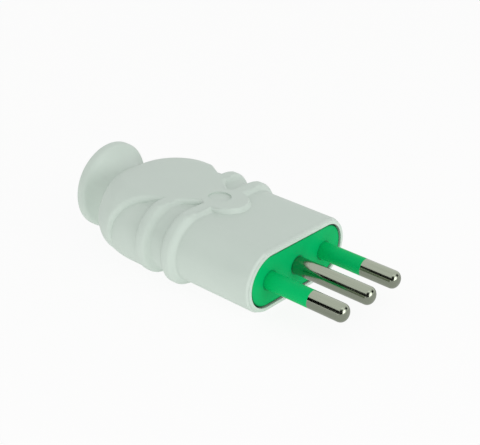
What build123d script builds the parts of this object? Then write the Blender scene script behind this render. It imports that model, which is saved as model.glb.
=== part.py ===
from build123d import *
import os
from math import radians, tan

# Grounded in-line plug with three round pins in a row, for a wired cord.
# Millimetres. +X is the way the pins point, +Z is the side with the flat deck.
# The origin is on the earth pin's axis, in the plane of the shell's front rim.

# Pins and their insulating sleeves
PIN_PITCH = 9.5
PIN_DIAMETER = 4.0
PIN_LENGTH = 19.0
PIN_TIP_ROUND = 1.5
COLLAR_DIAMETER = 4.4
PIN_CLEARANCE = 0.05
SLEEVE_LENGTH = 10.0
SLEEVE_ROOT = 2.5
SLEEVE_WALL = 0.5
SLEEVE_CLEARANCE = 0.02

# Terminals on the pins' inner ends
TERMINAL_SIDE = 5.6
TERMINAL_LENGTH = 8.0
TERMINAL_EDGE = 0.4
TERMINAL_CLEARANCE = 0.1
TERMINAL_SCREW_INSET = 3.0
WIRE_HOLE_DIAMETER = 2.6
WIRE_HOLE_DEPTH = 6.0

# Screws
SCREW_DIAMETER = 3.0
SCREW_CLEARANCE = 0.05
SLOT_WIDTH = 0.7
SLOT_DEPTH = 0.8
TERMINAL_HEAD_DIAMETER = 4.4
TERMINAL_HEAD_HEIGHT = 1.6
TERMINAL_SCREW_LENGTH = 2.6
PAN_HEAD_DIAMETER = 5.4
PAN_HEAD_HEIGHT = 1.7

# Shell, front part
END_MARGIN = 0.2
BODY_HEIGHT = 14.6
WALL = 1.2
RIM_BEVEL = 0.45
FACE_RECESS = 0.3
CARRIER_GAP = 0.15

# Shell, grip ribs
RIB_FIRST = 21.7
RIB_PITCH = 7.5
RIB_COUNT = 2
RIB_HEIGHT = 1.5
RIB_FOOT = 3.9
RIB_TOP = 2.3
RIB_BEVEL = 0.55
RIB_ROOT_BEVEL = 0.4
RIB_TRIM_BEVEL = 0.4

# Shell, shoulder under the hood
SHOULDER_START = 35.0
SHOULDER_HEIGHT = 0.6
SHOULDER_DROP = 0.8
SHOULDER_POWER = 1.9
CROWN_POWER = 2.9
TAPER_STATIONS = (0.0, 0.25, 0.5, 0.7, 0.84, 0.94, 1.0)
TAIL_FLAT = 0.2

# Shell, hood and deck on top
DECK_HEIGHT = 1.0
DECK_FRONT = 24.0
DECK_FRONT_WIDTH = 9.6
DECK_SPREAD = 41.5
LIP_ROUND = 1.2
GROOVE_END_ROUND = 4.5
HOOD_START = 39.3
HOOD_LIFT = 0.3
HOOD_OVERHANG = 0.2
HOOD_POWER = 1.65
HOOD_TAIL = 0.3
HOOD_BOW = 1.2
TAB_CENTRE = 20.8
TAB_RADIUS = 5.7
TAB_BEVEL = 0.5
MARK_CENTRE = 22.5
MARK_RADIUS = 2.6
MARK_DEPTH = 0.35

# Shell, neck and rear flange
NECK_FRONT = 48.8
NECK_RADIUS = 6.4
NECK_LENGTH = 0.4
FLARE_LENGTH = 5.8
FLANGE_RADIUS = 10.5
FLANGE_THICKNESS = 2.3
FLANGE_BEVEL = 0.55
CABLE_HOLE_DIAMETER = 8.6
CABLE_HOLE_BEVEL = 0.8
CAVITY_TAPER_LENGTH = 9.0

# Carrier that holds the pins
CARRIER_BLOCK = 11.5
CARRIER_END_MARGIN = 1.6
CARRIER_FACE_BEVEL = 0.2
BAY_LEDGE_HEIGHT = 0.8
BAY_LEDGE_LENGTH = 1.2
TONGUE_THICKNESS = 1.8
TONGUE_MARGIN = 0.6

# Fixing screw under the shell
FIXING_GAP = 0.2
FIXING_BOSS_RADIUS = 5.0
FIXING_BOSS_BEVEL = 0.4
FIXING_SEAT = 0.8
FIXING_HEAD_CLEARANCE = 0.4
FIXING_PILLAR_RADIUS = 3.2
FIXING_PILLAR_HEIGHT = 4.2
FIXING_SCREW_LENGTH = 4.8

# Cord clamp
CLAMP_GAP = 0.4
CLAMP_LENGTH = 5.6
CLAMP_EAR_THICKNESS = 2.0
CLAMP_ARCH_RADIUS = 3.7
CLAMP_ARCH_THICKNESS = 1.5
CLAMP_HEAD_GAP = 0.3
CLAMP_PILLAR_HEIGHT = 2.4
CLAMP_SCREW_LENGTH = 5.0

# Sizes that follow from the ones above
OUTER_PIN_PLACES = {"live": -PIN_PITCH, "neutral": PIN_PITCH}
PIN_PLACES = (-PIN_PITCH, 0, PIN_PITCH)
PIN_RADIUS = PIN_DIAMETER / 2
COLLAR_RADIUS = COLLAR_DIAMETER / 2
WAIST_RADIUS = PIN_RADIUS - SLEEVE_WALL
SCREW_RADIUS = SCREW_DIAMETER / 2
PAN_HEAD_RADIUS = PAN_HEAD_DIAMETER / 2
END_CENTRE = PIN_PITCH + END_MARGIN
BODY_RADIUS = BODY_HEIGHT / 2
CAVITY_RADIUS = BODY_RADIUS - WALL
CARRIER_RADIUS = CAVITY_RADIUS - CARRIER_GAP
RIB_RADIUS = BODY_RADIUS + RIB_HEIGHT
RIB_TRIM_WIDTH = RIB_FOOT - (RIB_FOOT - RIB_TOP) * DECK_HEIGHT / RIB_HEIGHT
LAST_RIB = RIB_FIRST + (RIB_COUNT - 1) * RIB_PITCH
RIBBED_LENGTH = LAST_RIB + RIB_PITCH / 2
SHOULDER_RADIUS = BODY_RADIUS + SHOULDER_HEIGHT
DECK_TOP = BODY_RADIUS + DECK_HEIGHT
FLARE_FRONT = NECK_FRONT + NECK_LENGTH
FLARE_REAR = FLARE_FRONT + FLARE_LENGTH
SHELL_LENGTH = FLARE_REAR + FLANGE_THICKNESS
CABLE_HOLE_RADIUS = CABLE_HOLE_DIAMETER / 2
REACH = 2 * SHELL_LENGTH
TERMINAL_REAR = CARRIER_BLOCK + TERMINAL_LENGTH
TERMINAL_SCREW_X = TERMINAL_REAR - TERMINAL_SCREW_INSET
BAY_FLOOR_REAR = TERMINAL_REAR + TERMINAL_CLEARANCE
BAY_REAR = BAY_FLOOR_REAR + BAY_LEDGE_LENGTH
BAY_LEDGE_Z = BAY_LEDGE_HEIGHT - TERMINAL_SIDE / 2
TONGUE_TOP = TONGUE_THICKNESS - CARRIER_RADIUS
FIXING_X = BAY_REAR + FIXING_GAP + FIXING_PILLAR_RADIUS
FIXING_SEAT_Z = -CAVITY_RADIUS - FIXING_SEAT
FIXING_BOSS_Z = -RIB_RADIUS
CLAMP_X = FIXING_X + FIXING_PILLAR_RADIUS + CLAMP_GAP + CLAMP_LENGTH / 2
CARRIER_LENGTH = CLAMP_X + CLAMP_LENGTH / 2 + CARRIER_END_MARGIN
CAVITY_LENGTH = CARRIER_LENGTH + CARRIER_GAP
CLAMP_ARCH_OUTER = CLAMP_ARCH_RADIUS + CLAMP_ARCH_THICKNESS
CLAMP_SCREW_Y = CLAMP_ARCH_OUTER + CLAMP_HEAD_GAP + PAN_HEAD_RADIUS
CLAMP_EAR_RADIUS = CLAMP_LENGTH / 2
CLAMP_EAR_Z = TONGUE_TOP + CLAMP_PILLAR_HEIGHT
TONGUE_HALF_WIDTH = CLAMP_SCREW_Y + CLAMP_EAR_RADIUS + TONGUE_MARGIN
HAIR = 0.01


def across(x):
    """Plane across the plug at x, its own axes along Y and Z."""
    return Plane(origin=(x, 0, 0), x_dir=(0, 1, 0), z_dir=(1, 0, 0))


def bar(x_rear, x_front, radius, end_centre=END_CENTRE, z=0):
    """Straight round-ended bar between two places along the plug."""
    section = SlotOverall(2 * (end_centre + radius), 2 * radius)
    return extrude(across(x_rear) * Pos(0, z) * section, x_front - x_rear)


def rod(x_rear, x_front, radius, y=0):
    """Cylinder along X between two places."""
    return Pos((x_rear + x_front) / 2, y, 0) * Rot(0, 90, 0) * Cylinder(radius, x_front - x_rear)


def post(x, y, z_low, z_high, radius):
    """Cylinder along Z between two heights."""
    return Pos(x, y, (z_low + z_high) / 2) * Cylinder(radius, z_high - z_low)


def block(x_rear, x_front, y_low, y_high, z_low, z_high):
    """Box between two corners."""
    box = Box(x_front - x_rear, y_high - y_low, z_high - z_low)
    return Pos((x_rear + x_front) / 2, (y_low + y_high) / 2, (z_low + z_high) / 2) * box


def bevelled_post(x, y, z_foot, z_face, radius, bevel):
    """Cylinder along Z whose edge at z_face is bevelled; it may point up or down."""
    plain = post(x, y, min(z_foot, z_face), max(z_foot, z_face), radius)
    rims = plain.edges().filter_by(GeomType.CIRCLE).sort_by(Axis.Z)
    return chamfer(rims[-1:] if z_face > z_foot else rims[:1], bevel)


def ribbed_profile():
    """Half outline of the ribbed front part: length against distance from the end axes."""
    points = [(0, 0), (0, BODY_RADIUS)]
    for number in range(RIB_COUNT):
        crest = -RIB_FIRST - number * RIB_PITCH
        points.append((crest + RIB_FOOT / 2, BODY_RADIUS))
        points.append((crest + RIB_TOP / 2, RIB_RADIUS))
        points.append((crest - RIB_TOP / 2, RIB_RADIUS))
        points.append((crest - RIB_FOOT / 2, BODY_RADIUS))
    points.append((-RIBBED_LENGTH, BODY_RADIUS))
    points.append((-RIBBED_LENGTH, 0))
    outline = make_face(Polyline(*points, close=True))
    outline = chamfer([v for v in outline.vertices() if v.Y > BODY_RADIUS + HAIR], RIB_BEVEL)
    roots = [v for v in outline.vertices() if -RIBBED_LENGTH + HAIR < v.X < -HAIR]
    outline = chamfer([v for v in roots if abs(v.Y - BODY_RADIUS) < HAIR], RIB_ROOT_BEVEL)
    return chamfer([v for v in outline.vertices() if v.X > -HAIR and v.Y > HAIR], RIM_BEVEL)


def ribbed_front():
    """Front part with its grip ribs: the profile turned at both ends and drawn across the middle."""
    half = Plane.XZ * ribbed_profile()
    end = Pos(0, -END_CENTRE, 0) * revolve(half, Axis.X, 180)
    middle = extrude(half + mirror(half, Plane.XY), END_CENTRE, both=True)
    flush = block(-SHELL_LENGTH, 0, -REACH, REACH, DECK_TOP, REACH)
    front = middle + end + mirror(end, Plane.XZ) - flush
    return chamfer(front.faces().sort_by(Axis.Z)[-RIB_COUNT:].edges(), RIB_TRIM_BEVEL)


def tail(x_start, radius, end_centre, shift, tail_radius, power):
    """Round-ended bar that narrows from x_start on a smooth curve to the neck."""
    sections = []
    for share in TAPER_STATIONS:
        taper = (1 - share**power) ** (1 / power)
        crown = (1 - share**CROWN_POWER) ** (1 / CROWN_POWER)
        half_height = tail_radius + (radius - tail_radius) * crown
        half_flat = TAIL_FLAT + (end_centre - TAIL_FLAT) * taper
        section = SlotOverall(2 * (half_flat + half_height), 2 * half_height)
        place = across(x_start - share * (x_start + NECK_FRONT))
        sections.append(place * Pos(0, shift * crown) * section)
    return loft(sections)


def shoulder():
    """Lower shoulder, whose straight front end is the floor of the rear groove."""
    floor = bar(-SHOULDER_START, -LAST_RIB, SHOULDER_RADIUS, z=-SHOULDER_DROP)
    return floor + tail(
        -SHOULDER_START, SHOULDER_RADIUS, END_CENTRE, -SHOULDER_DROP, NECK_RADIUS, SHOULDER_POWER
    )


def deck_half_width(x):
    """Half the width of the wedge-shaped deck at a distance x behind the front rim."""
    return DECK_FRONT_WIDTH / 2 + (x - DECK_FRONT) * tan(radians(DECK_SPREAD))


def hood_plan():
    """Plan of the hood's lip: from the last rib its bowed sides spread to the widest place."""
    front = deck_half_width(LAST_RIB)
    rear = deck_half_width(HOOD_START)
    far = SagittaArc((-LAST_RIB, front), (-HOOD_START, rear), HOOD_BOW)
    near = SagittaArc((-HOOD_START, -rear), (-LAST_RIB, -front), HOOD_BOW)
    back = Line((-HOOD_START, rear), (-HOOD_START, -rear))
    return make_face(Curve() + [far, back, near, Line((-LAST_RIB, -front), (-LAST_RIB, front))])


def slanted_rims(shape):
    """Edges of the deck's top that run neither along nor across the plug."""
    chosen = []
    for edge in shape.edges():
        box = edge.bounding_box()
        on_top = box.max.Z > DECK_TOP - HAIR
        if on_top and min(box.size.X, box.size.Y) > HAIR and box.max.X > -HOOD_START + HAIR:
            chosen.append(edge)
    return chosen


def hood():
    """Upper shoulder and deck, with the edge over the grooves rounded."""
    radius = DECK_TOP - HOOD_LIFT
    end_centre = END_CENTRE + HOOD_OVERHANG
    lip = bar(-HOOD_START, -LAST_RIB, radius, end_centre, HOOD_LIFT)
    lip = lip & extrude(hood_plan(), REACH, both=True)
    lip = fillet(slanted_rims(lip), LIP_ROUND)
    return lip + tail(-HOOD_START, radius, end_centre, HOOD_LIFT, NECK_RADIUS - HOOD_TAIL, HOOD_POWER)


def deck_front():
    """Front of the deck, with the last rib's front edge led onto it in a curve."""
    front = deck_half_width(DECK_FRONT)
    rear = deck_half_width(LAST_RIB)
    sides = [(-DECK_FRONT, front), (-LAST_RIB, rear), (-LAST_RIB, -rear), (-DECK_FRONT, -front)]
    rib_edge = -LAST_RIB + RIB_TRIM_WIDTH / 2
    band = Pos((rib_edge - LAST_RIB) / 2, 0) * Rectangle(RIB_TRIM_WIDTH / 2, 2 * (END_CENTRE + RIB_HEIGHT))
    plan = make_face(Polyline(*sides, close=True)) + band
    corners = [v for v in plan.vertices() if abs(v.X - rib_edge) < HAIR and abs(v.Y) < END_CENTRE]
    deck = extrude(fillet(corners, GROOVE_END_ROUND), DECK_TOP)
    return fillet(slanted_rims(deck), LIP_ROUND)


def neck_and_flange():
    """Round neck that flares to the rear flange."""
    neck = Polyline((-HOOD_START, 0), (-HOOD_START, NECK_RADIUS), (-FLARE_FRONT, NECK_RADIUS))
    flare = TangentArc((-FLARE_FRONT, NECK_RADIUS), (-FLARE_REAR, FLANGE_RADIUS), tangent=(-1, 0))
    flange = Polyline(
        (-FLARE_REAR, FLANGE_RADIUS), (-SHELL_LENGTH, FLANGE_RADIUS), (-SHELL_LENGTH, 0), (-HOOD_START, 0)
    )
    outline = make_face(Curve() + [neck, flare, flange])
    rim = [v for v in outline.vertices() if abs(v.Y - FLANGE_RADIUS) < HAIR]
    return revolve(Plane.XZ * chamfer(rim, FLANGE_BEVEL), Axis.X)


def cavity():
    """Room for the carrier and the cord's leads, narrowing to the cord's hole."""
    room = bar(-CAVITY_LENGTH, 0, CAVITY_RADIUS)
    middle = -CAVITY_LENGTH - CAVITY_TAPER_LENGTH / 2
    funnel = Pos(middle, 0, 0) * Rot(0, 90, 0) * Cone(CABLE_HOLE_RADIUS, CAVITY_RADIUS, CAVITY_TAPER_LENGTH)
    return room + funnel + rod(-REACH, -CAVITY_LENGTH, CABLE_HOLE_RADIUS)


def outer_shell():
    """One moulding: front part, ribs, shoulder, hood, neck, flange and tab, hollowed out."""
    shell = ribbed_front() + shoulder() + hood() + deck_front() + neck_and_flange()
    shell = shell + bevelled_post(-TAB_CENTRE, 0, 0, DECK_TOP, TAB_RADIUS, TAB_BEVEL)
    shell = shell + bevelled_post(-FIXING_X, 0, 0, FIXING_BOSS_Z, FIXING_BOSS_RADIUS, FIXING_BOSS_BEVEL)
    shell = shell - cavity()
    shell = shell - post(-MARK_CENTRE, 0, DECK_TOP - MARK_DEPTH, REACH, MARK_RADIUS)
    shell = shell - post(-FIXING_X, 0, -REACH, FIXING_SEAT_Z, PAN_HEAD_RADIUS + FIXING_HEAD_CLEARANCE)
    shell = shell - post(-FIXING_X, 0, -REACH, 0, SCREW_RADIUS + SCREW_CLEARANCE)
    rear_rims = shell.edges().filter_by(GeomType.CIRCLE).group_by(Axis.X)[0]
    return chamfer(rear_rims.sort_by(SortBy.RADIUS)[:1], CABLE_HOLE_BEVEL)


def pin(y, waist):
    """Turned pin with a square terminal at its inner end; a waist holds an insulating sleeve."""
    shank = rod(-FACE_RECESS, PIN_LENGTH, PIN_RADIUS, y)
    tip = shank.edges().filter_by(GeomType.CIRCLE).sort_by(Axis.X)[-1:]
    shank = fillet(tip, PIN_TIP_ROUND) + rod(-CARRIER_BLOCK, -FACE_RECESS, COLLAR_RADIUS, y)
    if waist:
        core = rod(-SLEEVE_ROOT, SLEEVE_LENGTH, WAIST_RADIUS, y)
        shank = shank - (rod(-SLEEVE_ROOT, SLEEVE_LENGTH, 2 * PIN_RADIUS, y) - core)
    half = TERMINAL_SIDE / 2
    terminal = block(-TERMINAL_REAR, -CARRIER_BLOCK, y - half, y + half, -half, half)
    terminal = chamfer(terminal.edges().filter_by(Axis.X), TERMINAL_EDGE)
    terminal = terminal - rod(-TERMINAL_REAR, -TERMINAL_REAR + WIRE_HOLE_DEPTH, WIRE_HOLE_DIAMETER / 2, y)
    terminal = terminal - post(-TERMINAL_SCREW_X, y, 0, half, SCREW_RADIUS + SCREW_CLEARANCE)
    return shank + terminal


def sleeve(y):
    """Insulating sleeve flush with the pin, with a collar that sits in the carrier."""
    tube = rod(-FACE_RECESS, SLEEVE_LENGTH, PIN_RADIUS, y)
    tube = tube + rod(-SLEEVE_ROOT, -FACE_RECESS, COLLAR_RADIUS, y)
    return tube - rod(-SLEEVE_ROOT, SLEEVE_LENGTH, WAIST_RADIUS + SLEEVE_CLEARANCE, y)


def pin_carrier():
    """Moulded insert: solid front block, three terminal bays, and a tongue with the cord's saddle."""
    carrier = bar(-CARRIER_LENGTH, -FACE_RECESS, CARRIER_RADIUS)
    carrier = chamfer(carrier.faces().sort_by(Axis.X)[-1].edges(), CARRIER_FACE_BEVEL)
    side = TERMINAL_SIDE / 2 + TERMINAL_CLEARANCE
    for y in PIN_PLACES:
        carrier = carrier - rod(-CARRIER_BLOCK, 0, COLLAR_RADIUS + PIN_CLEARANCE, y)
        carrier = carrier - block(-BAY_FLOOR_REAR, -CARRIER_BLOCK, y - side, y + side, -side, REACH)
        carrier = carrier - block(-BAY_REAR, -TERMINAL_REAR, y - side, y + side, BAY_LEDGE_Z, REACH)
    carrier = carrier - block(-REACH, -BAY_REAR, -REACH, REACH, TONGUE_TOP, REACH)
    for direction in (-1, 1):
        edge = direction * TONGUE_HALF_WIDTH
        outside = direction * REACH
        carrier = carrier - block(-REACH, -BAY_REAR, min(edge, outside), max(edge, outside), -REACH, REACH)
    pillar_top = FIXING_PILLAR_HEIGHT - CARRIER_RADIUS
    carrier = carrier + post(-FIXING_X, 0, TONGUE_TOP, pillar_top, FIXING_PILLAR_RADIUS)
    carrier = carrier - post(-FIXING_X, 0, -REACH, REACH, SCREW_RADIUS + SCREW_CLEARANCE)
    saddle = clamp_plan(TONGUE_TOP, CLAMP_EAR_Z) - rod(-CARRIER_LENGTH, -BAY_REAR, CLAMP_ARCH_RADIUS)
    carrier = carrier + saddle
    for direction in (-1, 1):
        y = direction * CLAMP_SCREW_Y
        tip = CLAMP_EAR_Z + CLAMP_EAR_THICKNESS - CLAMP_SCREW_LENGTH - SCREW_CLEARANCE
        carrier = carrier - post(-CLAMP_X, y, tip, REACH, SCREW_RADIUS + SCREW_CLEARANCE)
    return carrier


def clamp_plan(z_low, z_high):
    """Round-ended plate under and over the cord, between two heights."""
    plan = Pos(-CLAMP_X, 0) * SlotCenterToCenter(2 * CLAMP_SCREW_Y, 2 * CLAMP_EAR_RADIUS, rotation=90)
    return Pos(0, 0, z_low) * extrude(plan, z_high - z_low)


def cord_clamp():
    """Arched strap that presses the cord on the carrier's saddle."""
    rear = -CLAMP_X - CLAMP_LENGTH / 2
    front = -CLAMP_X + CLAMP_LENGTH / 2
    arch = rod(rear, front, CLAMP_ARCH_OUTER) - block(rear, front, -REACH, REACH, -REACH, CLAMP_EAR_Z)
    clamp = arch + clamp_plan(CLAMP_EAR_Z, CLAMP_EAR_Z + CLAMP_EAR_THICKNESS)
    clamp = clamp - rod(rear, front, CLAMP_ARCH_RADIUS)
    for y in (-CLAMP_SCREW_Y, CLAMP_SCREW_Y):
        clamp = clamp - post(-CLAMP_X, y, -REACH, REACH, SCREW_RADIUS + SCREW_CLEARANCE)
    return clamp


def slotted_screw(head_diameter, head_height, length):
    """Slotted screw that stands on its tip, with the underside of its head at the origin."""
    head = post(0, 0, 0, head_height, head_diameter / 2)
    shank = post(0, 0, -length, 0, SCREW_RADIUS)
    screw = head + shank
    return screw - Pos(0, 0, head_height) * Box(2 * head_diameter, SLOT_WIDTH, 2 * SLOT_DEPTH)


def terminal_screws():
    """One screw in each pin's terminal."""
    screw = slotted_screw(TERMINAL_HEAD_DIAMETER, TERMINAL_HEAD_HEIGHT, TERMINAL_SCREW_LENGTH)
    return Compound(children=[Pos(-TERMINAL_SCREW_X, y, TERMINAL_SIDE / 2) * screw for y in PIN_PLACES])


def clamp_screws():
    """The two screws of the cord clamp."""
    screw = slotted_screw(PAN_HEAD_DIAMETER, PAN_HEAD_HEIGHT, CLAMP_SCREW_LENGTH)
    z = CLAMP_EAR_Z + CLAMP_EAR_THICKNESS
    return Compound(children=[Pos(-CLAMP_X, y, z) * screw for y in (-CLAMP_SCREW_Y, CLAMP_SCREW_Y)])


def fixing_screw():
    """Screw from below that holds the carrier in the shell."""
    screw = slotted_screw(PAN_HEAD_DIAMETER, PAN_HEAD_HEIGHT, FIXING_SCREW_LENGTH)
    return Pos(-FIXING_X, 0, FIXING_SEAT_Z) * Rot(180, 0, 0) * screw


pieces = {
    "outer_shell": outer_shell(),
    "pin_carrier": pin_carrier(),
    "earth_pin": pin(0, False),
    "terminal_screws": terminal_screws(),
    "cord_clamp": cord_clamp(),
    "clamp_screws": clamp_screws(),
    "fixing_screw": fixing_screw(),
}
for pole, place in OUTER_PIN_PLACES.items():
    pieces[f"{pole}_pin"] = pin(place, True)
    pieces[f"{pole}_pin_sleeve"] = sleeve(place)

os.makedirs("parts", exist_ok=True)
for name, piece in pieces.items():
    export_step(piece, f"parts/{name}.step")
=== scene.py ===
"""Looks of a grounded in-line plug with three round pins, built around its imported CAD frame."""

import logging
import math
from dataclasses import dataclass
from enum import Enum
from functools import partial
from typing import Any, Callable

import bpy
from mathutils import Matrix, Vector


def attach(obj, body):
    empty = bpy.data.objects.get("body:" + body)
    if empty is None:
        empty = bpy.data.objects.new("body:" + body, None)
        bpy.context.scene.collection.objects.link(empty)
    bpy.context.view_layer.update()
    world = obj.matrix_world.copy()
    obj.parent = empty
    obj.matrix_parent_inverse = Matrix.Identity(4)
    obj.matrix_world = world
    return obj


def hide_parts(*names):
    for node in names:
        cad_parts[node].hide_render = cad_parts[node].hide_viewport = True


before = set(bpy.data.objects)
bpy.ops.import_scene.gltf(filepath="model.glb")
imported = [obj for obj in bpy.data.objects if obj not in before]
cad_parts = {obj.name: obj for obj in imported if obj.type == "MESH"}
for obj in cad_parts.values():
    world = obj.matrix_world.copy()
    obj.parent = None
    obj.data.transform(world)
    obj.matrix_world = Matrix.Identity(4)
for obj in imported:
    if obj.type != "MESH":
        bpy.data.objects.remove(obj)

log = logging.getLogger("plug")

# Metres in a millimetre.
MM = 0.001
BODY = "root"
# Triangles that tilt against each other by less than this are one flat face.
FLAT_DEG = 0.5
# Points nearer than this are one point.
MERGE_MM = 0.0005
# A CAD edge is found by its place to within this.
MATCH_MM = 0.02
# The front part's round ends are centred this far from the middle plane.
END_CENTRE_MM = 9.7
# Weight in the shading at which large faces count most.
LARGE_FACE_WEIGHT = 100
# The mix node names its colour sockets like its other sockets, so they go by number.
MIX_FACTOR, MIX_A, MIX_B, MIX_RESULT = 0, 6, 7, 2


class Node(str, Enum):
    """Pieces of the CAD frame."""

    SHELL = "outer_shell"
    CARRIER = "pin_carrier"
    LIVE_PIN = "live_pin"
    NEUTRAL_PIN = "neutral_pin"
    EARTH_PIN = "earth_pin"
    LIVE_SLEEVE = "live_pin_sleeve"
    NEUTRAL_SLEEVE = "neutral_pin_sleeve"
    TERMINAL_SCREWS = "terminal_screws"
    CLAMP = "cord_clamp"
    CLAMP_SCREWS = "clamp_screws"
    FIXING_SCREW = "fixing_screw"


class Weigh(str, Enum):
    """What a face's say in the shading of its corners goes by."""

    AREA = "FACE_AREA"
    AREA_AND_CORNER = "FACE_AREA_WITH_ANGLE"


class Slot(str, Enum):
    """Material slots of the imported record."""

    SHELL = "shell_plastic"
    CARRIER = "carrier_plastic"
    SLEEVE = "sleeve_plastic"
    PIN = "pin_metal"
    SCREW = "screw_steel"


def linear(hex_colour: str) -> tuple[float, float, float, float]:
    """Turn an sRGB hex colour into a linear one.

    Args:
        hex_colour: Six hex digits, with or without a leading hash.

    Returns:
        Red, green, blue and alpha for a shader socket.
    """
    digits = hex_colour.lstrip("#")
    parts = [int(digits[i:i + 2], 16) / 255 for i in (0, 2, 4)]
    # The sRGB curve is straight near black and a power above it.
    red, green, blue = [p / 12.92 if p <= 0.04045 else ((p + 0.055) / 1.055) ** 2.4 for p in parts]
    return (red, green, blue, 1.0)


def add_node(tree: bpy.types.NodeTree, kind: str, settings: dict[str, Any] | None = None,
             inputs: dict[Any, Any] | None = None) -> bpy.types.Node:
    """Add one shader node with its settings, values and links.

    Args:
        tree: Node tree that gets the node.
        kind: Blender's name for the node type.
        settings: Attributes of the node.
        inputs: Value or output socket for each input, by its name or number.

    Returns:
        The new node.
    """
    node = tree.nodes.new(kind)
    for name, value in (settings or {}).items():
        setattr(node, name, value)
    for name, value in (inputs or {}).items():
        if isinstance(value, bpy.types.NodeSocket):
            tree.links.new(value, node.inputs[name])
        else:
            node.inputs[name].default_value = value
    return node


def new_material(name: str) -> tuple[bpy.types.Material, bpy.types.NodeTree]:
    """Make an empty node material.

    Args:
        name: Name of the material.

    Returns:
        The material and its node tree.
    """
    material = bpy.data.materials.new(name)
    material.use_nodes = True
    material.node_tree.nodes.clear()
    return material, material.node_tree


@dataclass(frozen=True)
class MouldedPlastic:
    """Injection-moulded plastic: satin, with a fine spark-eroded grain and faint cloudy flow marks."""

    name: str
    colour: str
    shade: str
    roughness: float
    # A real grain is finer than this; it is drawn as coarse as it takes to show.
    grain_mm: float = 0.35
    grain_height_mm: float = 0.004
    grain_strength: float = 0.5
    grain_detail: float = 2.0
    cloud_mm: float = 9.0
    cloud_detail: float = 3.0
    gloss_spread: float = 0.08
    shine: float = 0.5

    def material(self) -> bpy.types.Material:
        """Build the shader.

        Returns:
            The finished material.
        """
        material, tree = new_material(self.name)
        place = add_node(tree, "ShaderNodeTexCoord")
        cloud = add_node(tree, "ShaderNodeTexNoise", {}, {
            "Vector": place.outputs["Object"], "Scale": 1 / (self.cloud_mm * MM),
            "Detail": self.cloud_detail})
        colour = add_node(tree, "ShaderNodeMix", {"data_type": "RGBA"}, {
            MIX_FACTOR: cloud.outputs["Fac"], MIX_A: linear(self.shade), MIX_B: linear(self.colour)})
        gloss = add_node(tree, "ShaderNodeMapRange", {}, {
            "Value": cloud.outputs["Fac"],
            "To Min": self.roughness - self.gloss_spread, "To Max": self.roughness + self.gloss_spread})
        grain = add_node(tree, "ShaderNodeTexNoise", {}, {
            "Vector": place.outputs["Object"], "Scale": 1 / (self.grain_mm * MM),
            "Detail": self.grain_detail})
        relief = add_node(tree, "ShaderNodeBump", {}, {
            "Height": grain.outputs["Fac"], "Strength": self.grain_strength,
            "Distance": self.grain_height_mm * MM})
        shader = add_node(tree, "ShaderNodeBsdfPrincipled", {}, {
            "Base Color": self.tint(tree, place.outputs["Object"], colour.outputs[MIX_RESULT]),
            "Roughness": gloss.outputs["Result"], "Normal": relief.outputs["Normal"],
            "Specular IOR Level": self.shine})
        add_node(tree, "ShaderNodeOutputMaterial", {}, {"Surface": shader.outputs["BSDF"]})
        return material

    def tint(self, tree: bpy.types.NodeTree, place: bpy.types.NodeSocket,
             colour: bpy.types.NodeSocket) -> bpy.types.NodeSocket:
        """Leave the colour as it is; a finish with painted shade in set places changes it.

        Args:
            tree: Node tree of the material; not used here.
            place: Object coordinates; not used here.
            colour: Colour of the bare plastic.

        Returns:
            The colour, with painted shade where a finish has it.
        """
        return colour


@dataclass(frozen=True)
class PaintedShadeEdgePlastic(MouldedPlastic):
    """Moulded plastic of a face with round ends, with painted shade where its edge drops into the
    joint.
    """

    end_centre_mm: float = END_CENTRE_MM
    # Radius of the face's round ends, and how far in from there the painted shade along the edge fades.
    edge_mm: float = 5.95
    painted_shade_mm: float = 0.6
    # Places along the pins where the painted shade at the edge starts and where it is full.
    painted_shade_depth_mm: tuple[float, float] = (-1.8, -1.0)
    # Colour of the painted shade in the joint's recess.
    painted_shade_colour: str = "#002A19"

    def tint(self, tree: bpy.types.NodeTree, place: bpy.types.NodeSocket,
             colour: bpy.types.NodeSocket) -> bpy.types.NodeSocket:
        """Paint shade along the face's outline, where the joint's recess lies in shadow.

        Args:
            tree: Node tree of the material.
            place: Object coordinates.
            colour: Colour of the bare plastic.

        Returns:
            The colour with painted shade along its edge.
        """
        axes = add_node(tree, "ShaderNodeSeparateXYZ", {}, {"Vector": place})
        side = add_node(tree, "ShaderNodeMath", {"operation": "ABSOLUTE"}, {0: axes.outputs["Y"]})
        past = add_node(tree, "ShaderNodeMath", {"operation": "SUBTRACT"}, {
            0: side.outputs[0], 1: self.end_centre_mm * MM})
        along = add_node(tree, "ShaderNodeMath", {"operation": "MAXIMUM"}, {0: past.outputs[0], 1: 0.0})
        across = add_node(tree, "ShaderNodeCombineXYZ", {}, {
            "X": along.outputs[0], "Y": axes.outputs["Z"]})
        reach = add_node(tree, "ShaderNodeVectorMath", {"operation": "LENGTH"}, {
            0: across.outputs["Vector"]})
        # Painted shade: darker towards the face's outline, where the joint's recess lies in shadow.
        painted_shade_band = add_node(tree, "ShaderNodeMapRange", {"interpolation_type": "SMOOTHSTEP"}, {
            "Value": reach.outputs["Value"],
            "From Min": (self.edge_mm - self.painted_shade_mm) * MM, "From Max": self.edge_mm * MM})
        back, front = self.painted_shade_depth_mm
        depth = add_node(tree, "ShaderNodeMapRange", {}, {
            "Value": axes.outputs["X"], "From Min": back * MM, "From Max": front * MM})
        both = add_node(tree, "ShaderNodeMath", {"operation": "MULTIPLY"}, {
            0: painted_shade_band.outputs["Result"], 1: depth.outputs["Result"]})
        with_painted_shade = add_node(tree, "ShaderNodeMix", {"data_type": "RGBA"}, {
            MIX_FACTOR: both.outputs[0], MIX_A: colour, MIX_B: linear(self.painted_shade_colour)})
        return with_painted_shade.outputs[MIX_RESULT]


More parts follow.
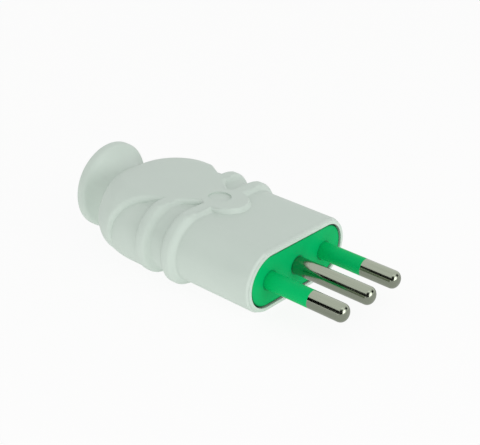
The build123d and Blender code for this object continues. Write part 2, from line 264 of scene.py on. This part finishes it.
@dataclass(frozen=True)
class PlatedMetal:
    """Plated metal: a bright reflection, drawn out by fine lines along the piece."""

    name: str
    colour: str
    shade: str
    roughness: float
    # Real drawing lines are finer than this; they are drawn as coarse as it takes to show.
    line_mm: float = 0.12
    line_length_mm: float = 9.0
    line_height_mm: float = 0.0015
    line_strength: float = 0.4
    line_detail: float = 2.0
    gloss_spread: float = 0.08
    # Noise levels of the glossiest and of the dullest line.
    line_contrast: tuple[float, float] = (0.35, 0.65)

    def material(self) -> bpy.types.Material:
        """Build the shader.

        Returns:
            The finished material.
        """
        material, tree = new_material(self.name)
        place = add_node(tree, "ShaderNodeTexCoord")
        stretch = (1 / (self.line_length_mm * MM), 1 / (self.line_mm * MM), 1 / (self.line_mm * MM))
        drawn = add_node(tree, "ShaderNodeMapping", {}, {
            "Vector": place.outputs["Object"], "Scale": stretch})
        lines = add_node(tree, "ShaderNodeTexNoise", {}, {
            "Vector": drawn.outputs["Vector"], "Scale": 1.0, "Detail": self.line_detail})
        colour = add_node(tree, "ShaderNodeMix", {"data_type": "RGBA"}, {
            MIX_FACTOR: lines.outputs["Fac"], MIX_A: linear(self.shade), MIX_B: linear(self.colour)})
        low, high = self.line_contrast
        gloss = add_node(tree, "ShaderNodeMapRange", {}, {
            "Value": lines.outputs["Fac"],
            "From Min": low, "From Max": high,
            "To Min": self.roughness - self.gloss_spread, "To Max": self.roughness + self.gloss_spread})
        relief = add_node(tree, "ShaderNodeBump", {}, {
            "Height": lines.outputs["Fac"], "Strength": self.line_strength,
            "Distance": self.line_height_mm * MM})
        shader = add_node(tree, "ShaderNodeBsdfPrincipled", {}, {
            "Base Color": colour.outputs[MIX_RESULT], "Metallic": 1.0,
            "Roughness": gloss.outputs["Result"], "Normal": relief.outputs["Normal"]})
        add_node(tree, "ShaderNodeOutputMaterial", {}, {"Surface": shader.outputs["BSDF"]})
        return material


# Glass-filled polyamide from a spark-eroded mould: pale, faintly green, no sharp highlight anywhere.
SHELL_FINISH = MouldedPlastic("moulded_polyamide_pale_grey", "#CBD7CE", "#C4D1C8", roughness=0.46)
# Dyed polycarbonate: a full, even green with hardly any gloss, and painted shade at its edge in the
# joint.
CARRIER_FINISH = PaintedShadeEdgePlastic("moulded_polycarbonate_green", "#00B568", "#00AB60", roughness=0.5,
                               cloud_mm=5.0, shine=0.05)
# The same plastic where it thins to a lip round a pin, darker by painted shade of the corner at its
# root.
LIP_FINISH = MouldedPlastic("moulded_polycarbonate_green_lip", "#009C5A", "#009152", roughness=0.5,
                            shine=0.05)
# Dyed polyamide with a smooth skin: the same green, a little brighter and glossier.
SLEEVE_FINISH = MouldedPlastic("moulded_polyamide_green", "#00C26D", "#00B664", roughness=0.4,
                               cloud_mm=4.0, shine=0.07)
# Nickel plate on drawn brass: a grey mirror with a trace of warm green, and dark lines along the pin.
PIN_FINISH = PlatedMetal("nickel_plated_brass_drawn", "#AEB5A4", "#959C8B", roughness=0.17)
# Zinc plate on steel: a cooler and duller grey.
SCREW_FINISH = PlatedMetal("zinc_plated_steel", "#C4C6C8", "#A9ABAE", roughness=0.3)


def select_only(piece: bpy.types.Object) -> None:
    """Make one object the only selected and the active one.

    Args:
        piece: The object.
    """
    bpy.ops.object.select_all(action="DESELECT")
    piece.select_set(True)
    bpy.context.view_layer.objects.active = piece


def finished_copy(node: Node, material: bpy.types.Material, smooth_deg: float,
                  weigh: Weigh = Weigh.AREA) -> bpy.types.Object:
    """Copy a CAD piece, join its loose triangles, smooth it and let it stand for the node.

    Args:
        node: CAD piece to copy.
        material: Finish of the copy.
        smooth_deg: Edges flatter than this are shaded round.
        weigh: How the faces are weighed in the shading.

    Returns:
        The finished piece.
    """
    piece = bpy.data.objects.new(f"{node.value}_finished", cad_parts[node.value].data.copy())
    bpy.context.scene.collection.objects.link(piece)
    select_only(piece)
    bpy.ops.object.mode_set(mode="EDIT")
    bpy.ops.mesh.select_all(action="SELECT")
    bpy.ops.mesh.remove_doubles(threshold=MERGE_MM * MM)
    bpy.ops.mesh.dissolve_limited(angle_limit=math.radians(FLAT_DEG))
    bpy.ops.object.mode_set(mode="OBJECT")
    shade_evenly(piece, smooth_deg, weigh)
    dress(piece, material)
    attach(piece, BODY)
    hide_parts(node.value)
    return piece


def edit_points(piece: bpy.types.Object, belongs: Callable[[float, float, float], bool]) -> None:
    """Open a piece in edit mode with only some of its points selected.

    Args:
        piece: Piece to edit.
        belongs: Test of a place in millimetres.
    """
    if piece.mode == "EDIT":
        bpy.ops.object.mode_set(mode="OBJECT")
    select_only(piece)
    bpy.ops.object.mode_set(mode="EDIT")
    bpy.ops.mesh.select_mode(type="VERT")
    bpy.ops.mesh.select_all(action="DESELECT")
    bpy.ops.object.mode_set(mode="OBJECT")
    for point in piece.data.vertices:
        point.select = belongs(*(point.co / MM))
    log.info("%s: %d points picked", piece.name, sum(p.select for p in piece.data.vertices))
    bpy.ops.object.mode_set(mode="EDIT")


def shade_evenly(piece: bpy.types.Object, smooth_deg: float, weigh: Weigh, fresh: bool = True) -> None:
    """Shade a piece round across its flat edges, with large faces kept flat.

    Args:
        piece: Piece to shade.
        smooth_deg: Edges flatter than this are shaded round.
        weigh: How the faces are weighed.
        fresh: Forget the shading that the piece has. Otherwise moved edges keep a crisp line.
    """
    select_only(piece)
    if fresh:
        bpy.ops.mesh.customdata_custom_splitnormals_clear()
    bpy.ops.object.shade_smooth_by_angle(angle=math.radians(smooth_deg))
    even = piece.modifiers.new("even_shading", "WEIGHTED_NORMAL")
    even.weight = LARGE_FACE_WEIGHT
    even.mode = weigh.value
    even.keep_sharp = True
    bpy.ops.object.modifier_apply(modifier=even.name)


def dress(piece: bpy.types.Object, material: bpy.types.Material) -> None:
    """Give a piece one material in place of what it has."""
    piece.data.materials.clear()
    piece.data.materials.append(material)


def dress_node(node: Node, material: bpy.types.Material) -> None:
    """Give a CAD piece that stays a better material in each of its slots."""
    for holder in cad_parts[node.value].material_slots:
        holder.material = material


@dataclass(frozen=True)
class TabEdge:
    """One edge round the tab's bevel, and how far it is drawn in for a softer wall."""

    height_mm: float
    radius_mm: float
    draft_mm: float


@dataclass
class Housing:
    """Ribbed outer shell and the green carrier in its mouth."""

    shell_smooth_deg: float = 48.0
    carrier_smooth_deg: float = 30.0
    rim_bevel_mm: float = 0.45
    rim_inside_mm: float = 7.0
    rim_draw_mm: float = 0.5
    tab_centre_mm: float = -20.8
    tab_edges: tuple[TabEdge, ...] = (
        TabEdge(height_mm=7.8, radius_mm=5.7, draft_mm=0.34),
        TabEdge(height_mm=8.3, radius_mm=5.2, draft_mm=0.22),
    )
    # Reach of each step of the draft to either side of the tab's front.
    tab_fade_deg: tuple[float, ...] = (79.0, 73.0, 67.0, 62.0, 56.0, 50.0, 45.0, 39.0)
    ledge_mm: float = -32.95
    ledge_inside_mm: float = 11.3
    ledge_reach_mm: tuple[float, float] = (7.0, 7.35)
    ledge_height_mm: float = 0.2
    ledge_match_mm: float = 0.005

    def on_rim(self, x: float, y: float, z: float) -> bool:
        """Tell whether a place, in millimetres, is on the outer edge of the front rim's bevel."""
        reach = math.hypot(max(abs(y) - END_CENTRE_MM, 0.0), z)
        return abs(x + self.rim_bevel_mm) < MATCH_MM and reach > self.rim_inside_mm

    def on_tab(self, edge: TabEdge, widest_deg: float, x: float, y: float, z: float) -> bool:
        """Tell whether a place is on an edge of the tab's bevel, clear of the ribs' arms.

        Args:
            edge: The edge.
            widest_deg: Largest angle of the place from the tab's front.
            x: Place along the plug, in millimetres, as are the next two.
            y: Place across it.
            z: Height.

        Returns:
            True for a point that the draft moves.
        """
        reach = math.hypot(x - self.tab_centre_mm, y)
        angle = math.degrees(math.atan2(abs(y), x - self.tab_centre_mm))
        drawn_in = edge.radius_mm - reach
        level = abs(z - edge.height_mm) < MATCH_MM
        return level and angle < widest_deg and -MATCH_MM < drawn_in < edge.draft_mm

    def on_ledge(self, x: float, y: float, z: float) -> bool:
        """Tell whether a place is on the shallow ledge in the rear grooves' floor.

        Args:
            x: Place along the plug, in millimetres, as are the next two.
            y: Place across it.
            z: Height.

        Returns:
            True for a point of the ledge.
        """
        reach = math.hypot(max(abs(y) - END_CENTRE_MM, 0.0), z)
        near, far = self.ledge_reach_mm
        beside = abs(y) > self.ledge_inside_mm and z > 0
        return beside and abs(x - self.ledge_mm) < self.ledge_match_mm and near < reach < far

    def soften(self, shell: bpy.types.Object) -> None:
        """Soften the tab's wall, close the grooves' ledge and draw the rim's bevel back.

        The tab's draft is made in steps, each narrower than the last, so that it fades out
        towards the ribs. The rim comes after the first shading, to keep its bevel's crisp line.

        Args:
            shell: The finished copy of the shell.
        """
        tab_centre = (self.tab_centre_mm * MM, 0, 0)
        for edge in self.tab_edges:
            narrow = 1 - edge.draft_mm / len(self.tab_fade_deg) / edge.radius_mm
            for widest_deg in self.tab_fade_deg:
                edit_points(shell, partial(self.on_tab, edge, widest_deg))
                bpy.ops.transform.resize(value=(narrow, narrow, 1), center_override=tab_centre)
        edit_points(shell, self.on_ledge)
        bpy.ops.mesh.remove_doubles(threshold=self.ledge_height_mm * MM)
        bpy.ops.object.mode_set(mode="OBJECT")
        shade_evenly(shell, self.shell_smooth_deg, Weigh.AREA_AND_CORNER)
        edit_points(shell, self.on_rim)
        bpy.ops.transform.translate(value=(-self.rim_draw_mm * MM, 0, 0))
        bpy.ops.object.mode_set(mode="OBJECT")
        shade_evenly(shell, self.shell_smooth_deg, Weigh.AREA_AND_CORNER, fresh=False)

    def build(self) -> list[bpy.types.Object]:
        """Finish both mouldings.

        Returns:
            The finished pieces.
        """
        grey = SHELL_FINISH.material()
        green = CARRIER_FINISH.material()
        shell = finished_copy(Node.SHELL, grey, self.shell_smooth_deg,
                              Weigh.AREA_AND_CORNER)
        self.soften(shell)
        carrier = finished_copy(Node.CARRIER, green, self.carrier_smooth_deg)
        dress_node(Node.CLAMP, green)
        return [shell, carrier]


@dataclass
class PinRow:
    """Three plated pins, the sleeves on the outer two, and a lip round each root."""

    smooth_deg: float = 40.0
    pitch_mm: float = 9.5
    face_mm: float = -0.3
    lip_inner_mm: float = 2.02
    lip_outer_mm: float = 2.3
    lip_height_mm: float = 0.06
    lip_bevel_mm: float = 0.025
    lip_bevel_steps: int = 2
    lip_sides: int = 72
    sleeve_end_mm: float = 10.0
    sleeve_draw_mm: float = 0.45

    def at_sleeve_end(self, x: float, y: float, z: float) -> bool:
        """Tell whether a place, in millimetres, is where a sleeve meets the bare end of its pin."""
        return abs(x - self.sleeve_end_mm) < MATCH_MM

    def lengthen_sleeve(self, piece: bpy.types.Object) -> None:
        """Move the joint between a sleeve and the bare end of its pin outwards.

        Args:
            piece: The finished copy of a sleeve or of its pin.
        """
        edit_points(piece, self.at_sleeve_end)
        bpy.ops.transform.translate(value=(self.sleeve_draw_mm * MM, 0, 0))
        bpy.ops.object.mode_set(mode="OBJECT")

    def seat_lip(self, name: str, across_mm: float, material: bpy.types.Material) -> bpy.types.Object:
        """Model the thin lip of green plastic that closes round a pin where it leaves the face.

        Args:
            name: Name of the lip.
            across_mm: Place of the pin across the row.
            material: Finish of the lip.

        Returns:
            The finished lip.
        """
        bpy.ops.object.select_all(action="DESELECT")
        bpy.ops.mesh.primitive_circle_add(
            vertices=self.lip_sides, radius=self.lip_outer_mm * MM, fill_type="NGON",
            location=(self.face_mm * MM, across_mm * MM, 0), rotation=(0, math.pi / 2, 0))
        lip = bpy.context.object
        lip.name = name
        bpy.ops.object.transform_apply(location=True, rotation=True, scale=True)
        bpy.ops.object.mode_set(mode="EDIT")
        bpy.ops.mesh.select_all(action="SELECT")
        bpy.ops.mesh.inset(thickness=(self.lip_outer_mm - self.lip_inner_mm) * MM)
        bpy.ops.mesh.delete(type="FACE")
        bpy.ops.mesh.select_all(action="SELECT")
        bpy.ops.mesh.normals_make_consistent(inside=False)
        bpy.ops.object.mode_set(mode="OBJECT")
        wall = lip.modifiers.new("height", "SOLIDIFY")
        wall.thickness = self.lip_height_mm * MM
        wall.offset = 0.0
        bpy.ops.object.modifier_apply(modifier=wall.name)
        edge = lip.modifiers.new("soft_edge", "BEVEL")
        edge.width = self.lip_bevel_mm * MM
        edge.segments = self.lip_bevel_steps
        bpy.ops.object.modifier_apply(modifier=edge.name)
        bpy.ops.object.shade_smooth_by_angle(angle=math.radians(self.smooth_deg))
        dress(lip, material)
        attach(lip, BODY)
        return lip

    def build(self) -> list[bpy.types.Object]:
        """Finish the pins and sleeves, and model the lips.

        Returns:
            The finished pieces.
        """
        nickel = PIN_FINISH.material()
        green = SLEEVE_FINISH.material()
        live, neutral, earth = (finished_copy(pin, nickel, self.smooth_deg)
                                for pin in (Node.LIVE_PIN, Node.NEUTRAL_PIN, Node.EARTH_PIN))
        sleeves = [finished_copy(sleeve, green, self.smooth_deg)
                   for sleeve in (Node.LIVE_SLEEVE, Node.NEUTRAL_SLEEVE)]
        for piece in (live, neutral, *sleeves):
            self.lengthen_sleeve(piece)
        # The lips get a darker copy of the green: painted shade round the pins' roots.
        painted_shade_green = LIP_FINISH.material()
        lips = [self.seat_lip(f"{name}_seat_lip", row * self.pitch_mm, painted_shade_green)
                for name, row in (("live", -1), ("earth", 0), ("neutral", 1))]
        return [live, neutral, earth, *sleeves, *lips]


@dataclass
class Fasteners:
    """Terminal, clamp and fixing screws."""

    def build(self) -> list[bpy.types.Object]:
        """Dress the screws.

        Returns:
            The dressed CAD pieces.
        """
        steel = SCREW_FINISH.material()
        nodes = (Node.TERMINAL_SCREWS, Node.CLAMP_SCREWS, Node.FIXING_SCREW)
        for node in nodes:
            dress_node(node, steel)
        return [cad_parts[node.value] for node in nodes]


def way_out(azimuth_deg: float, elevation_deg: float) -> Vector:
    """Work out a direction away from the plug.

    Args:
        azimuth_deg: Way round the plug, 0 in front and 90 on the side of the pins.
        elevation_deg: Height above the level.

    Returns:
        Unit vector in that direction.
    """
    turn, rise = math.radians(azimuth_deg), math.radians(elevation_deg)
    return Vector((math.sin(turn) * math.cos(rise), -math.cos(turn) * math.cos(rise), math.sin(rise)))


@dataclass
class PhotoCamera:
    """Camera at the photograph's place, fitted to the pins and the shell's edges."""

    azimuth_deg: float = 37.552
    elevation_deg: float = 26.201
    roll_deg: float = 4.192
    distance_mm: float = 220.186
    aim_right_mm: float = -12.356
    aim_up_mm: float = 9.037
    focal_px: float = 1040.764
    frame_width_px: int = 480
    sensor_mm: float = 36.0
    nearest_mm: float = 10.0

    def axes(self) -> tuple[Vector, Vector, Vector]:
        """Work out the camera's directions.

        Returns:
            Unit vectors to the right, up and back.
        """
        back = way_out(self.azimuth_deg, self.elevation_deg)
        turn, roll = math.radians(self.azimuth_deg), math.radians(self.roll_deg)
        level = Vector((math.cos(turn), math.sin(turn), 0))
        above = back.cross(level)
        right = level * math.cos(roll) + above * math.sin(roll)
        up = above * math.cos(roll) - level * math.sin(roll)
        return right, up, back

    def build(self) -> bpy.types.Object:
        """Make the camera and set it as the scene's own.

        Returns:
            The camera.
        """
        right, up, back = self.axes()
        data = bpy.data.cameras.new("photo_camera")
        data.sensor_fit = "HORIZONTAL"
        data.sensor_width = self.sensor_mm
        data.lens = self.focal_px * self.sensor_mm / self.frame_width_px
        data.clip_start = self.nearest_mm * MM
        camera = bpy.data.objects.new("photo_camera", data)
        bpy.context.scene.collection.objects.link(camera)
        place = (back * self.distance_mm + right * self.aim_right_mm + up * self.aim_up_mm) * MM
        turned = Matrix((right, up, back)).transposed().to_4x4()
        camera.matrix_world = Matrix.Translation(place) @ turned
        bpy.context.scene.camera = camera
        return camera


def place_around(azimuth_deg: float, elevation_deg: float, distance_mm: float, aim: Vector) -> Matrix:
    """Work out a place around a point, with its own Z axis away from the point.

    Args:
        azimuth_deg: Way round the point, 0 in front and 90 on the side of the pins.
        elevation_deg: Height above the point.
        distance_mm: Distance from the point.
        aim: The point, in metres.

    Returns:
        The matrix of something at that place that looks at the point.
    """
    way = way_out(azimuth_deg, elevation_deg)
    turned = way.to_track_quat("Z", "Y").to_matrix().to_4x4()
    return Matrix.Translation(aim + way * distance_mm * MM) @ turned


@dataclass(frozen=True)
class Softbox:
    """One soft lamp that looks at the plug."""

    name: str
    azimuth_deg: float
    elevation_deg: float
    distance_mm: float
    width_mm: float
    height_mm: float
    power_w: float

    def build(self, aim: Vector) -> bpy.types.Object:
        """Make the lamp.

        Args:
            aim: Point that the lamp looks at, in metres.

        Returns:
            The lamp.
        """
        data = bpy.data.lights.new(self.name, "AREA")
        data.shape = "RECTANGLE"
        data.size = self.width_mm * MM
        data.size_y = self.height_mm * MM
        data.energy = self.power_w
        lamp = bpy.data.objects.new(self.name, data)
        bpy.context.scene.collection.objects.link(lamp)
        lamp.matrix_world = place_around(self.azimuth_deg, self.elevation_deg, self.distance_mm, aim)
        return lamp


@dataclass(frozen=True)
class DarkCard:
    """Black card out of view that only mirrors show: dark lines and spots on polished metal."""

    name: str
    azimuth_deg: float
    elevation_deg: float
    distance_mm: float
    width_mm: float
    height_mm: float
    colour: str = "#0C0C0B"

    def build(self, aim: Vector) -> bpy.types.Object:
        """Make the card.

        Args:
            aim: Point that the card faces, in metres.

        Returns:
            The card.
        """
        bpy.ops.mesh.primitive_plane_add(size=1.0)
        card = bpy.context.object
        card.name = self.name
        card.matrix_world = (place_around(self.azimuth_deg, self.elevation_deg, self.distance_mm, aim)
                             @ Matrix.Diagonal((self.width_mm * MM, self.height_mm * MM, 1, 1)))
        material, tree = new_material("black_card")
        matt = add_node(tree, "ShaderNodeBsdfDiffuse", {}, {"Color": linear(self.colour)})
        add_node(tree, "ShaderNodeOutputMaterial", {}, {"Surface": matt.outputs["BSDF"]})
        dress(card, material)
        card.visible_camera = False
        card.visible_diffuse = False
        card.visible_shadow = False
        return card


@dataclass
class Studio:
    """Pale floor under the resting plug, white surroundings and soft lamps."""

    floor_mm: float = 3000.0
    # Centre of mass along the plug.
    balance_mm: float = -17.33
    floor_gap_mm: float = 0.02
    floor_colour: str = "#F4F4F2"
    surround: float = 0.72
    aim_mm: tuple[float, float, float] = (-20.0, 0.0, 0.0)
    lamps: tuple[Softbox, ...] = (
        Softbox("key_softbox", azimuth_deg=75.0, elevation_deg=55.0, distance_mm=450.0,
                width_mm=250.0, height_mm=250.0, power_w=0.1),
        Softbox("front_fill", azimuth_deg=5.0, elevation_deg=12.0, distance_mm=450.0,
                width_mm=300.0, height_mm=150.0, power_w=0.1),
        Softbox("pin_side_softbox", azimuth_deg=87.0, elevation_deg=17.0, distance_mm=450.0,
                width_mm=320.0, height_mm=250.0, power_w=0.58),
    )
    cards: tuple[DarkCard, ...] = (
        DarkCard("front_card", azimuth_deg=0.0, elevation_deg=21.8, distance_mm=430.0,
                 width_mm=1500.0, height_mm=270.0),
        DarkCard("camera_card", azimuth_deg=53.0, elevation_deg=27.0, distance_mm=425.0,
                 width_mm=300.0, height_mm=520.0),
        DarkCard("far_card", azimuth_deg=130.0, elevation_deg=26.0, distance_mm=425.0,
                 width_mm=220.0, height_mm=220.0),
    )
    # The floor glows, to look white and to light the plug from below.
    floor_glow: float = 0.37
    bounce: float = 1.8
    floor_white: float = 0.9
    floor_mirrored: float = 0.6

    def white_for_view(self, tree: bpy.types.NodeTree) -> bpy.types.NodeSocket:
        """Tell where a ray is one that shows the background.

        Args:
            tree: Node tree of the floor or the world.

        Returns:
            A socket that is 1 for camera, mirror and see-through rays.
        """
        ray = add_node(tree, "ShaderNodeLightPath")
        seen = add_node(tree, "ShaderNodeMath", {"operation": "MAXIMUM"}, {
            0: ray.outputs["Is Camera Ray"], 1: ray.outputs["Is Glossy Ray"]})
        both = add_node(tree, "ShaderNodeMath", {"operation": "MAXIMUM"}, {
            0: seen.outputs[0], 1: ray.outputs["Is Transmission Ray"]})
        return both.outputs[0]

    def resting_line(self) -> tuple[Vector, Vector]:
        """Find the two lowest places of the plug on either side of its balance point.

        Returns:
            The rear and the front place, each along and up, in metres.
        """
        places = sorted({(point.co.x, point.co.z)
                         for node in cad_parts.values() for point in node.data.vertices})
        under: list[Vector] = []
        for place in map(Vector, places):
            while len(under) > 1 and (under[-1] - under[-2]).cross(place - under[-2]) <= 0:
                under.pop()
            under.append(place)
        ahead = next(i for i, place in enumerate(under) if place.x > self.balance_mm * MM)
        return under[ahead - 1], under[ahead]

    def build_floor(self) -> bpy.types.Object:
        """Lay the floor under the two places that the plug rests on.

        Returns:
            The floor.
        """
        rear, front = self.resting_line()
        log.info("Studio: plug rests at x %.2f and %.2f mm", rear.x / MM, front.x / MM)
        slope = math.atan2(front.y - rear.y, front.x - rear.x)
        bpy.ops.mesh.primitive_plane_add(size=self.floor_mm * MM, location=(0, 0, 0))
        floor = bpy.context.object
        floor.name = "floor"
        floor.rotation_euler = (0, -slope, 0)
        floor.location = (rear.x, 0, rear.y - self.floor_gap_mm * MM)
        dress(floor, self.floor_material())
        return floor

    def floor_material(self) -> bpy.types.Material:
        """Make white paper that glows, is dimmer in mirrors, and is clear when seen from below.

        Returns:
            The finished material.
        """
        material, tree = new_material("matt_white_paper")
        paper = add_node(tree, "ShaderNodeBsdfDiffuse", {}, {"Color": linear(self.floor_colour)})
        seen = self.white_for_view(tree)
        level = add_node(tree, "ShaderNodeMapRange", {}, {
            "Value": seen, "To Min": self.bounce, "To Max": 1.0})
        ray = add_node(tree, "ShaderNodeLightPath")
        mirrored = add_node(tree, "ShaderNodeMapRange", {}, {
            "Value": ray.outputs["Is Glossy Ray"], "To Min": 1.0, "To Max": self.floor_mirrored})
        dimmed = add_node(tree, "ShaderNodeMath", {"operation": "MULTIPLY"}, {
            0: level.outputs["Result"], 1: mirrored.outputs["Result"]})
        glow = add_node(tree, "ShaderNodeEmission", {}, {"Strength": dimmed.outputs[0]})
        lift = add_node(tree, "ShaderNodeMapRange", {}, {
            "Value": seen, "To Min": self.floor_glow, "To Max": self.floor_white})
        both = add_node(tree, "ShaderNodeMixShader", {}, {
            0: lift.outputs["Result"], 1: paper.outputs["BSDF"], 2: glow.outputs["Emission"]})
        side = add_node(tree, "ShaderNodeNewGeometry")
        below = add_node(tree, "ShaderNodeMath", {"operation": "MULTIPLY"}, {
            0: side.outputs["Backfacing"], 1: ray.outputs["Is Camera Ray"]})
        clear = add_node(tree, "ShaderNodeBsdfTransparent")
        sheet = add_node(tree, "ShaderNodeMixShader", {}, {
            0: below.outputs[0], 1: both.outputs["Shader"], 2: clear.outputs["BSDF"]})
        add_node(tree, "ShaderNodeOutputMaterial", {}, {"Surface": sheet.outputs["Shader"]})
        return material

    def build_world(self) -> None:
        """Surround the plug with even pale light, white where it is seen."""
        world = bpy.data.worlds.new("pale_surround")
        world.use_nodes = True
        tree = world.node_tree
        tree.nodes.clear()
        level = add_node(tree, "ShaderNodeMapRange", {}, {
            "Value": self.white_for_view(tree), "To Min": self.surround, "To Max": 1.0})
        light = add_node(tree, "ShaderNodeBackground", {}, {
            "Color": (1, 1, 1, 1), "Strength": level.outputs["Result"]})
        add_node(tree, "ShaderNodeOutputWorld", {}, {"Surface": light.outputs["Background"]})
        bpy.context.scene.world = world

    def build(self) -> None:
        """Set up floor, surroundings, lamps and the view transform."""
        self.build_floor()
        self.build_world()
        aim = Vector(self.aim_mm) * MM
        for thing in (*self.lamps, *self.cards):
            thing.build(aim)
        bpy.context.scene.view_settings.view_transform = "Standard"


def main() -> None:
    """Build the plug and its studio, and log the faces of each finished piece."""
    logging.basicConfig(level=logging.INFO, format="%(name)s: %(message)s")
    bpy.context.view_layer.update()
    for group in (Housing(), PinRow(), Fasteners()):
        for piece in group.build():
            log.info("%s: %s, %d faces", type(group).__name__, piece.name, len(piece.data.polygons))
    PhotoCamera().build()
    Studio().build()


if __name__ == "__main__":
    main()
